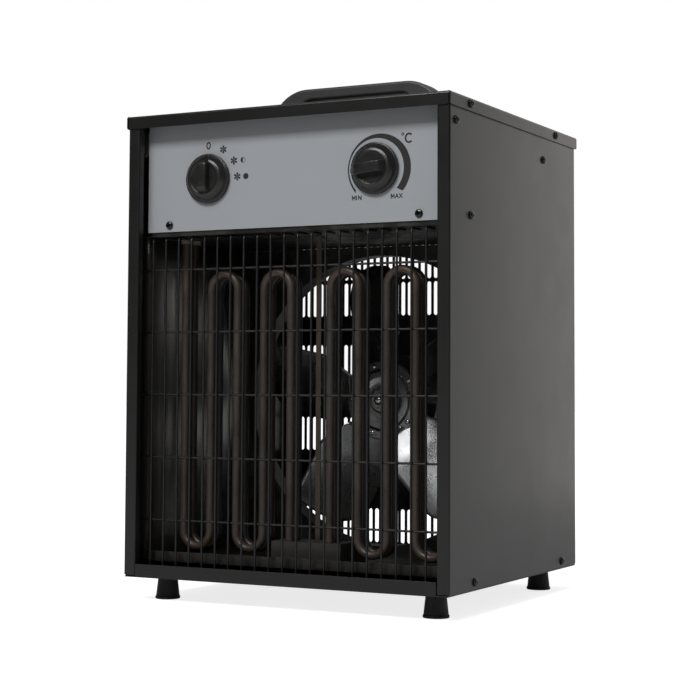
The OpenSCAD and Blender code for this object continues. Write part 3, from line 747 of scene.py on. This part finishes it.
def knob(name, node, body, mat, turn):
    """Pointer knob: rounded skirt, convex shoulder, sunk face and a raised, sloping grip"""
    lo, hi = corners(node)
    centre = Vector(((lo[0] + hi[0]) / 2 * MM, at(hi[1]), (lo[2] + hi[2]) / 2 * MM))
    skirt = round_corners([(9, 3.4), (9, 0), (24.5, 0), (24.5, 2.9), (23.2, 3.1), (22.6, 3.5),
                           (21.4, 6.2), (18.6, 8.9), (16.2, 9.6), (15.2, 9.4), (14.6, 8.9), (0, 8.7)],
                          [0, 0.1, 0.5, 0.9, 0.3, 0.4, 3.5, 3.0, 0.5, 0.4, 0.4, 0], 5)
    shell = lathe_mesh([(p.x, p.y) for p in skirt], (0, 0, 0), (0, -1, 0), 96)
    # sections of the grip along the pointer: place, half-width at its top and foot, height
    rows = [(-15.6, 3.9, 4.9, 8.6), (-14.4, 4.5, 5.6, 10.4), (-11.6, 4.9, 5.9, 13.6),
            (-9.8, 5.0, 6.0, 14.8), (-8.6, 5.0, 6.0, 15.0), (0, 5.0, 6.0, 15.0),
            (12.5, 5.0, 6.0, 15.0), (14.2, 4.9, 6.0, 14.6),
            (17.5, 4.0, 5.2, 12.0), (21.0, 2.6, 3.8, 8.4), (23.4, 1.3, 2.3, 5.6), (24.1, 0.7, 1.4, 4.4)]
    verts, faces, per, base = [], [], 0, 2.0
    for place, top, foot, height in rows:
        shoulder = min(height - 0.6, 9.6)
        section = round_corners([(-foot - 0.9, base), (-foot, shoulder), (-top, height),
                                 (top, height), (foot, shoulder), (foot + 0.9, base)],
                                [0, 2.5, 0.9, 0.9, 2.5, 0], 4)
        per = len(section)
        verts += [(p.x * MM, -p.y * MM, place * MM) for p in section]
    count = len(rows)
    for i in range(count - 1):
        for k in range(per - 1):
            a = i * per + k
            faces.append((a, a + 1, a + per + 1, a + per))
        faces.append((i * per, i * per + per - 1, (i + 1) * per + per - 1, (i + 1) * per))
    faces.append(tuple(range(per)))
    faces.append(tuple(range((count - 1) * per, count * per)))
    spin = Matrix.Rotation(math.radians(turn), 4, "Y")
    parts = [([centre + spin @ Vector(v) for v in points], polygons)
             for points, polygons in (shell, (verts, faces))]
    dress(merge(name, parts, 50), mat, body, [node])


knob("mode_knob_shell", "mode_knob", "mode_dial", knob_plastic, 0)
knob("thermostat_knob_shell", "thermostat_knob", "thermostat_dial", knob_plastic, -95)


# ---------------------------------------------------------------- handle

def handle():
    """Moulded handle: flat grip on quarter-round ends, all edges rounded"""
    (_, d0, z0), (half, d1, z1) = corners("handle")
    height = z1 - z0
    # thickness of the grip, half the width of the finger gap, radius of the gap's corners
    bar, gap, inner = 12, 64, 12
    outer = [(-half, 0)]
    for k in range(25):
        turn = math.pi - math.pi / 2 * k / 24
        outer.append((-half + height + height * math.cos(turn), height * math.sin(turn)))
    outer += [(-x, z) for x, z in reversed(outer)]
    lower = [(gap, 0)]
    for k in range(9):
        turn = math.pi / 2 * k / 8
        lower.append((gap - inner + inner * math.cos(turn),
                      height - bar - inner + inner * math.sin(turn)))
    lower += [(-x, z) for x, z in reversed(lower)]
    outline = [(x, z + z0) for x, z in outer[1:-1]] + [(half, z0)]
    outline += [(x, z + z0) for x, z in lower] + [(-half, z0)]
    clean = [outline[0]]
    for p in outline[1:]:
        if math.dist(p, clean[-1]) > 0.01:
            clean.append(p)
    piece = prism("handle_moulding", clean, d0, d1)
    bevel(piece, 3.4, 5, 60)
    dress(piece, handle_plastic, replaces=["handle"])


handle()


# ---------------------------------------------------------------- feet

def foot(node):
    """Tapered rubber foot with a rounded tread, a soft collar and its counterbore"""
    lo, hi = corners(node)
    centre = ((lo[0] + hi[0]) / 2 * MM, at((lo[1] + hi[1]) / 2), 0)
    height, base = hi[2], (hi[0] - lo[0]) / 2
    top = base - 2.9
    profile = round_corners([(5, 12), (5, 0), (base, 0), (base, 2.2), (base - 0.7, 3.0),
                             (top + 0.1, height - 1.2), (top, height), (2.2, height),
                             (2.2, 12), (5, 12)],
                            [0, 0.6, 0.8, 0.6, 0.8, 0.8, 0.5, 0, 0, 0], 4)
    profile = [(p.x, p.y) for p in profile][:-1]
    piece = lathe(f"{node}_moulding", profile, centre, (0, 0, 1), 48, closed=True)
    dress(piece, rubber, replaces=[node])


for name in ("foot_front_left", "foot_front_right", "foot_rear_left", "foot_rear_right"):
    foot(name)


# ---------------------------------------------------------------- panel marks

def marks():
    """Dial marks printed on the control panel, 0.05 mm proud of it"""
    layer = at(corners("control_panel")[0][1]) - 0.05 * MM
    verts, faces = [], []

    def area(points):
        faces.append(tuple(range(len(verts), len(verts) + len(points))))
        verts.extend((x * MM, layer, z * MM) for x, z in points)

    def disc(x, z, radius, start=0, end=360, steps=36):
        turns = [math.radians(start + (end - start) * k / steps) for k in range(steps)]
        area([(x + radius * math.cos(turn), z + radius * math.sin(turn)) for turn in turns])

    def ring(x, z, outer, inner, start=0, end=360, steps=48):
        """Band between two ellipses, each (centre x, centre z, rx, rz) about x, z"""
        for k in range(steps):
            quad = []
            for t, (cx, cz, rx, rz) in ((k, inner), (k, outer), (k + 1, outer), (k + 1, inner)):
                turn = math.radians(start + (end - start) * t / steps)
                quad.append((x + cx + rx * math.cos(turn), z + cz + rz * math.sin(turn)))
            area(quad)

    def stroke(points, width):
        for (ax, az), (bx, bz) in zip(points, points[1:]):
            run = math.dist((ax, az), (bx, bz))
            nx, nz = -(bz - az) / run * width / 2, (bx - ax) / run * width / 2
            area([(ax + nx, az + nz), (ax - nx, az - nz), (bx - nx, bz - nz), (bx + nx, bz + nz)])
        for x, z in points:
            disc(x, z, width / 2, steps=12)

    petal = ((0, 0), (0.45, -0.2), (0.8, -0.27), (1.0, -0.15), (1.0, 0.15), (0.8, 0.27), (0.45, 0.2))

    def fan_sign(x, z, size):
        for k in range(6):
            turn = math.radians(90 + 60 * k)
            out = Vector((math.cos(turn), math.sin(turn)))
            across = Vector((-out.y, out.x))
            points = [out * a + across * b for a, b in petal]
            area([(x + p.x * size, z + p.y * size) for p in points])

    # mode dial: the figure 0, three fan signs, a half disc and a full disc
    knob_x, knob_z = 91.5, 412.5
    ring(-knob_x - 0.5, knob_z + 32.8, (0, 0, 2.6, 3.8), (0, 0, 1.3, 2.3))
    for x, z in ((-75.0, 440.6), (-62.8, 429.0), (-58.8, 413.2)):
        fan_sign(x, z, 4.0)
    ring(-52.5, 429.1, (0, 0, 2.7, 2.7), (0, 0, 2.3, 2.3))
    disc(-52.5, 429.1, 2.7, start=90, end=270)
    disc(-49.1, 413.1, 3.0)
    # thermostat dial: a widening wedge, the degree sign, C, MIN and MAX
    ring(0, 0, (95.4, 412.3, 32.8, 32.8), (92.4, 412.5, 28.5, 28.5), 222, -42, 96)
    ring(119.7, 443.0, (0, 0, 1.5, 1.5), (0, 0, 0.6, 0.6), steps=24)
    ring(126.1, 439.1, (0, 0, 4.4, 4.9), (0, 0, 2.7, 3.2), 42, 318, 40)
    letters = {
        "M": [[(0, 0), (0, 1), (0.5, 0.25), (1, 1), (1, 0)]],
        "I": [[(0.2, 0), (0.2, 1)]],
        "N": [[(0, 0), (0, 1), (0.9, 0), (0.9, 1)]],
        "A": [[(0, 0), (0.5, 1), (1, 0)], [(0.2, 0.36), (0.8, 0.36)]],
        "X": [[(0, 0), (0.95, 1)], [(0, 1), (0.95, 0)]],
    }
    for word, x, widths in (("MIN", 67.4, (3.6, 1.7, 3.2)), ("MAX", 108.0, (3.6, 3.4, 3.2))):
        for letter, width in zip(word, widths):
            for line in letters[letter]:
                stretch = 1 if letter == "I" else 3.0
                stroke([(x + u * stretch, 384.0 + v * 3.8) for u, v in line], 0.85)
            x += width + 0.7
    dress(make("panel_marks", verts, faces), ink)


marks()


# ---------------------------------------------------------------- grille welds

def welds():
    """Small weld nuggets where the upright wires meet the cross wires"""
    wires, pitch, cross_wires, cross_pitch, lowest = 22, 15, 5, 61.6, 78
    up_d = corners("front_grille")[0][1] + 1.1
    cross_d = up_d + 2.1
    parts = []
    random_size = random.Random(3)
    for i in range(wires):
        x = (i - (wires - 1) / 2) * pitch
        for k in range(cross_wires):
            z = lowest + cross_pitch * k
            size = random_size.uniform(1.25, 1.6)
            place = (x * MM, at((up_d + cross_d) / 2), z * MM)
            profile = [(0, -size), (size * 0.6, -size * 0.8), (size * 0.95, -size * 0.3), (size, 0),
                       (size * 0.95, size * 0.3), (size * 0.6, size * 0.8), (0, size)]
            parts.append(lathe_mesh(profile, place, (0, 1, 0), 10))
    dress(merge("grille_welds", parts, 60), wire_paint)


welds()


# ---------------------------------------------------------------- reflectors

def reflector_sheet(node, sign):
    """Thin side reflector with its flanges, buckled a little in vertical waves by heat"""
    lo, hi = corners(node)
    outer = max(abs(lo[0]), abs(hi[0]))
    inner = min(abs(lo[0]), abs(hi[0]))
    d0, d1, z0, z1 = lo[1], hi[1], lo[2], hi[2]
    wave = random.Random(11 if sign > 0 else 23)
    # each wave: height, length, phase and drift of the phase along z
    terms = [(wave.uniform(0.10, 0.22), wave.uniform(14, 46), wave.uniform(0, 6.28),
              wave.uniform(-0.002, 0.002)) for _ in range(5)]
    columns, rows, calm_edge, turn = 120, 14, 12, 6.283
    verts = []
    for i in range(rows + 1):
        z = z0 + (z1 - z0) * i / rows
        line = [(outer, d0), (inner + 1.0, d0)]
        for k in range(columns + 1):
            d = d0 + (d1 - d0) * k / columns
            fade = min(1, (d - d0) / calm_edge, (d1 - d) / calm_edge)
            ripple = sum(a * math.sin(turn * d / w + p + z * s * turn) for a, w, p, s in terms)
            line.append((inner + 1.0 - fade * ripple - 0.25 * fade, d))
        line.append((outer, d1))
        per = len(line)
        verts += [(sign * x * MM, at(d), z * MM) for x, d in line]
    piece = make(f"{node}_sheet", verts, grid_faces(rows + 1, per), 50)
    thick = piece.modifiers.new("thickness", "SOLIDIFY")
    thick.thickness = 0.8 * MM
    thick.offset = 0
    dress(piece, reflector, replaces=[node])


reflector_sheet("reflector_right", 1)
reflector_sheet("reflector_left", -1)


# ---------------------------------------------------------------- fan

def blade(direction, axis, middle):
    """Cambered blade at its pitch along a direction, its two tip corners rounded unequally"""
    pitch, tip, root = math.radians(27), 142.0, 36
    half_root, half_tip, lead, trail, top = 18, 40.0, 18.0, 36.0, 141.6
    across, along = 20, 26
    verts = []
    for i in range(along + 1):
        u = root + (top - root) * (i / along) ** 0.92
        half = half_root + (half_tip - half_root) * min(1.0, max(0.0, (u - 30) / 38))
        rim = math.sqrt(max(0.0, tip ** 2 - u ** 2))
        sides = []
        for radius in (lead, trail):
            bow = math.sqrt(max(0.0, radius ** 2 - (u - top + radius) ** 2))
            sides.append(min(half if u < top - radius else half_tip - radius + bow, rim))
        low, high = sides
        for k in range(across + 1):
            v = -low + (low + high) * k / across
            camber = 2.2 * math.sin(math.pi * k / across) * min(1.0, (u - root) / 30)
            sideways = v * math.cos(pitch) + camber * math.sin(pitch)
            depth = v * math.sin(pitch) - camber * math.cos(pitch)
            x = axis[0] + u * math.cos(direction) - sideways * math.sin(direction)
            z = axis[1] + u * math.sin(direction) + sideways * math.cos(direction)
            verts.append((x * MM, at(middle + depth), z * MM))
    return verts, grid_faces(along + 1, across + 1)


def fan():
    """Pressed aluminium fan: five blades riveted to a ribbed hub disc, and its dome nut"""
    lo, hi = corners("fan_nut")
    axis_x, axis_z = (lo[0] + hi[0]) / 2, (lo[2] + hi[2]) / 2
    middle = 219
    directions = [math.radians(25 + 72 * n) for n in range(5)]
    parts = [blade(direction, (axis_x, axis_z), middle) for direction in directions]
    blades = merge("fan_blade_sheets", parts, 50)
    thick = blades.modifiers.new("thickness", "SOLIDIFY")
    thick.thickness = 1.2 * MM
    thick.offset = 0
    dress(blades, blade_metal, "fan", ["fan_blades"])
    place = (axis_x * MM, at(middle), axis_z * MM)
    hub = round_corners([(5.05, 13), (12, 13), (12, 2.5), (30, 2.0), (41, 2.0), (42, 0.5),
                         (41, -1.0), (33, -1.6), (30, -3.6), (24, -4.2), (19, -3.0), (14, -3.0),
                         (12, -6), (5.05, -6)],
                        [0, 0.6, 1.0, 1.0, 0.6, 0.6, 0.8, 2, 2, 2, 1.5, 1.0, 0.6, 0], 4)
    piece = lathe("fan_hub", [(p.x, p.y) for p in hub], place, (0, 1, 0), 72)
    dress(piece, blade_metal, "fan", ["fan_blades"])
    parts = []
    rivet, rivet_circle = [(2.9, -1.2), (2.9, 0.3), (2.4, 1.1), (1.4, 1.6), (0, 1.8)], 36.5
    for direction in directions:
        for offset in (-0.16, 0.16):
            spin = direction + offset
            seat = ((axis_x + rivet_circle * math.cos(spin)) * MM, at(middle - 1.0),
                    (axis_z + rivet_circle * math.sin(spin)) * MM)
            parts.append(lathe_mesh(rivet, seat, (0, -1, 0), 20))
    dress(merge("fan_rivets", parts), bright_nut, "fan", ["fan_blades"])
    front = lo[1]
    dome = round_corners([(0, 0), (3.0, 0.5), (5.4, 2.4), (6.4, 5), (0.001, 5)], [0, 2, 2, 0.3, 0], 5)
    cap = lathe_mesh([(p.x, p.y) for p in dome], (axis_x * MM, at(front), axis_z * MM), (0, 1, 0), 40)
    hexes = []
    for depth, r in ((front + 3, 7.9), (front + 3.6, 8.5), (front + 8, 8.5)):
        hexes += [((axis_x + r * math.cos(math.radians(60 * k))) * MM, at(depth),
                   (axis_z + r * math.sin(math.radians(60 * k))) * MM) for k in range(6)]
    faces = [tuple(range(6)), tuple(range(12, 18))] + wall_faces(6) + wall_faces(6, 6)
    dress(merge("fan_dome_nut", [cap, (hexes, faces)]), bright_nut, "fan", ["fan_nut"])


fan()


# ---------------------------------------------------------------- stage and light

def math_node(tree, operation, first, second):
    """Output of a Math node whose inputs are numbers or sockets"""
    node = tree.nodes.new("ShaderNodeMath")
    node.operation = operation
    for slot, value in zip(node.inputs, (first, second)):
        if isinstance(value, (int, float)):
            slot.default_value = value
        else:
            tree.links.new(value, slot)
    return node.outputs[0]


def bounced(tree, rays):
    """1 for glossy and transmitted rays"""
    outputs = rays.outputs
    return math_node(tree, "MAXIMUM", outputs["Is Glossy Ray"], outputs["Is Transmission Ray"])


def stage_material():
    """Pale floor: white to the camera apart from the object's shadow, dim where metal reflects it"""
    mat = bpy.data.materials.new("studio_floor")
    mat.use_nodes = True
    tree = mat.node_tree
    tree.nodes.clear()
    out = tree.nodes.new("ShaderNodeOutputMaterial")
    add = tree.nodes.new("ShaderNodeAddShader")
    diffuse = tree.nodes.new("ShaderNodeBsdfDiffuse")
    diffuse.inputs["Color"].default_value = (0.55, 0.55, 0.55, 1)
    glow = tree.nodes.new("ShaderNodeEmission")
    rays = tree.nodes.new("ShaderNodeLightPath")
    part = math_node(tree, "MULTIPLY", bounced(tree, rays), 0.15)
    place = tree.nodes.new("ShaderNodeTexCoord")
    away = tree.nodes.new("ShaderNodeVectorMath")
    away.operation = "LENGTH"
    rise = tree.nodes.new("ShaderNodeMapRange")
    set_range(rise, 0.6, 2.0, 0.8, 1.0)
    tree.links.new(place.outputs["Object"], away.inputs[0])
    tree.links.new(away.outputs["Value"], rise.inputs["Value"])
    seen = tree.nodes.new("ShaderNodeMath")
    seen.operation = "MULTIPLY_ADD"
    tree.links.new(rise.outputs[0], seen.inputs[1])
    tree.links.new(rays.outputs["Is Camera Ray"], seen.inputs[0])
    tree.links.new(part, seen.inputs[2])
    tree.links.new(seen.outputs[0], glow.inputs["Strength"])
    tree.links.new(diffuse.outputs[0], add.inputs[0])
    tree.links.new(glow.outputs[0], add.inputs[1])
    tree.links.new(add.outputs[0], out.inputs[0])
    return mat


floor = make("floor", [(-14, -14, 0), (14, -14, 0), (14, 14, 0), (-14, 14, 0)], [(0, 1, 2, 3)])
floor.data.materials.append(stage_material())


def world():
    """White to the camera, a dim room in reflections, plain grey light on surfaces"""
    sky = bpy.data.worlds.new("studio")
    bpy.context.scene.world = sky
    sky.use_nodes = True
    tree = sky.node_tree
    tree.nodes.clear()
    out = tree.nodes.new("ShaderNodeOutputWorld")
    background = tree.nodes.new("ShaderNodeBackground")
    background.inputs["Color"].default_value = (1, 1, 1, 1)
    rays = tree.nodes.new("ShaderNodeLightPath")
    place = tree.nodes.new("ShaderNodeTexCoord")
    split = tree.nodes.new("ShaderNodeSeparateXYZ")
    fade = tree.nodes.new("ShaderNodeMapRange")
    fade.interpolation_type = "SMOOTHSTEP"
    set_range(fade, -0.35, 0.75, 0.06, 0.38)
    tree.links.new(place.outputs["Generated"], split.inputs[0])
    tree.links.new(split.outputs[1], fade.inputs["Value"])
    first = tree.nodes.new("ShaderNodeMix")
    first.inputs[2].default_value = 0.30
    tree.links.new(bounced(tree, rays), first.inputs[0])
    tree.links.new(fade.outputs[0], first.inputs[3])
    second = tree.nodes.new("ShaderNodeMix")
    second.inputs[3].default_value = 1.0
    tree.links.new(rays.outputs["Is Camera Ray"], second.inputs[0])
    tree.links.new(first.outputs[0], second.inputs[2])
    tree.links.new(second.outputs[0], background.inputs["Strength"])
    tree.links.new(background.outputs[0], out.inputs[0])


world()


def softbox(name, place, aim, size, power, colour=(1, 1, 1)):
    lamp = bpy.data.lights.new(name, "AREA")
    lamp.shape = "RECTANGLE"
    lamp.size, lamp.size_y = size
    lamp.energy = power
    lamp.color = colour
    obj = bpy.data.objects.new(name, lamp)
    obj.location = place
    obj.rotation_euler = (Vector(aim) - Vector(place)).to_track_quat("-Z", "Y").to_euler()
    obj.visible_camera = False
    bpy.context.scene.collection.objects.link(obj)


softbox("key", (-0.2, -2.1, 2.1), (0, 0, 0.3), (1.6, 0.7), 56)
softbox("top", (0.2, 0.3, 2.6), (0, 0, 0.3), (1.6, 1.6), 14)
softbox("side", (0.40, 0.85, 0.55), (0.17, 0.15, 0.3), (0.25, 1.1), 0.8, (1, 0.975, 0.93))

bpy.context.scene.view_settings.view_transform = "Standard"
